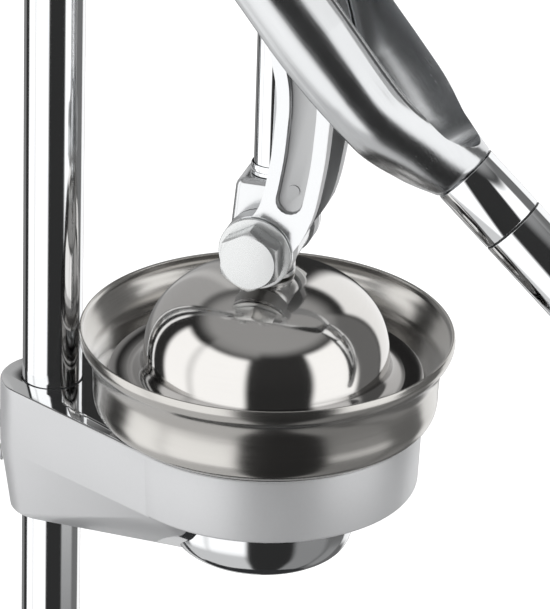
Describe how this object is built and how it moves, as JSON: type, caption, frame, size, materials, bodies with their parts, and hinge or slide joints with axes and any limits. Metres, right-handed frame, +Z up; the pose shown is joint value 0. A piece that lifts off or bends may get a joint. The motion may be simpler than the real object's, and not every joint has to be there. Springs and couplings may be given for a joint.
{
  "type": "lever citrus juice press",
  "caption": "Lever citrus juice press with a pole stand, bracket with bowl and strainer, polished bell on a guide rod, twin bowed links and a looped hand lever.",
  "frame": {"origin": "on the table, under the middle of the press's box at rest with the lever lowered", "axes": "+Z up along the pole; +Y to the back, where the pole stands; -Y to the user, where the handle reaches; +X to the user's right when facing the press"},
  "size_m": [0.156, 0.3064, 0.4583],
  "materials": {
    "dark_cast": "matt dark grey paint on cast iron",
    "rubber": "matt",
    "chrome": "polished chrome plate",
    "polished_cast": "polished and brushed casting",
    "satin_cast": "satin casting",
    "brushed_stainless": "finely brushed round the axis",
    "mirror_stainless": "mirror polish",
    "zinc_steel": "satin",
    "bronze": "plain bearing bronze",
    "black_plastic": "fine matt"
  },
  "bodies": {
    "stand": {"base_plate": "dark_cast", "foot_front_left": "rubber", "foot_front_right": "rubber", "foot_rear_left": "rubber", "foot_rear_right": "rubber", "pole": "chrome", "pole_screw": "zinc_steel", "pole_screw_washer": "zinc_steel", "bracket": "polished_cast", "bracket_set_screw_upper": "zinc_steel", "bracket_set_screw_lower": "zinc_steel", "bowl": "brushed_stainless", "strainer": "brushed_stainless", "juicing_cone": "satin_cast", "head": "polished_cast", "pole_cap": "black_plastic", "head_set_screw": "zinc_steel", "guide_bush_upper": "bronze", "guide_bush_lower": "bronze"},
    "carriage": {"bell": "mirror_stainless", "bell_collar": "zinc_steel", "bell_washer": "zinc_steel", "bell_screw": "zinc_steel", "knuckle": "polished_cast", "guide_rod": "chrome", "rod_collar": "chrome", "rod_stop": "chrome", "hub_bolt": "zinc_steel", "hub_bolt_washer": "zinc_steel", "hub_nut_washer": "zinc_steel", "hub_nut": "zinc_steel"},
    "links": {"link_left": "satin_cast", "link_right": "satin_cast", "link_bush_left": "bronze", "link_bush_right": "bronze"},
    "lever": {"lever_loop": "polished_cast", "handle_ferrule": "chrome", "handle_seam_ring": "black_plastic", "handle_tube": "chrome", "handle_end_cap": "black_plastic", "pivot_bolt": "zinc_steel", "pivot_bolt_washer": "zinc_steel", "pivot_nut_washer": "zinc_steel", "pivot_nut": "zinc_steel", "crank_bolt_left": "zinc_steel", "crank_bolt_right": "zinc_steel"}
  },
  "joints": [
    {"name": "lever_hinge", "type": "hinge", "parent": "stand", "child": "lever", "pos_m": [0, 0.08083, 0.4301], "axis": [-1, 0, 0], "range_deg": [0, 80]},
    {"name": "press_slide", "type": "slide", "parent": "stand", "child": "carriage", "axis": [0, 0, 1], "range_m": [0, 0.0876]},
    {"name": "link_hinge", "type": "hinge", "parent": "carriage", "child": "links", "pos_m": [0, 0.03683, 0.2794], "axis": [1, 0, 0], "range_deg": [0, 8.75]}
  ],
  "couplings": [
    {"joint": "press_slide", "follows": "lever_hinge", "m_per_rad": 0.062685},
    {"joint": "link_hinge", "follows": "lever_hinge", "ratio": 0.109}
  ]
}
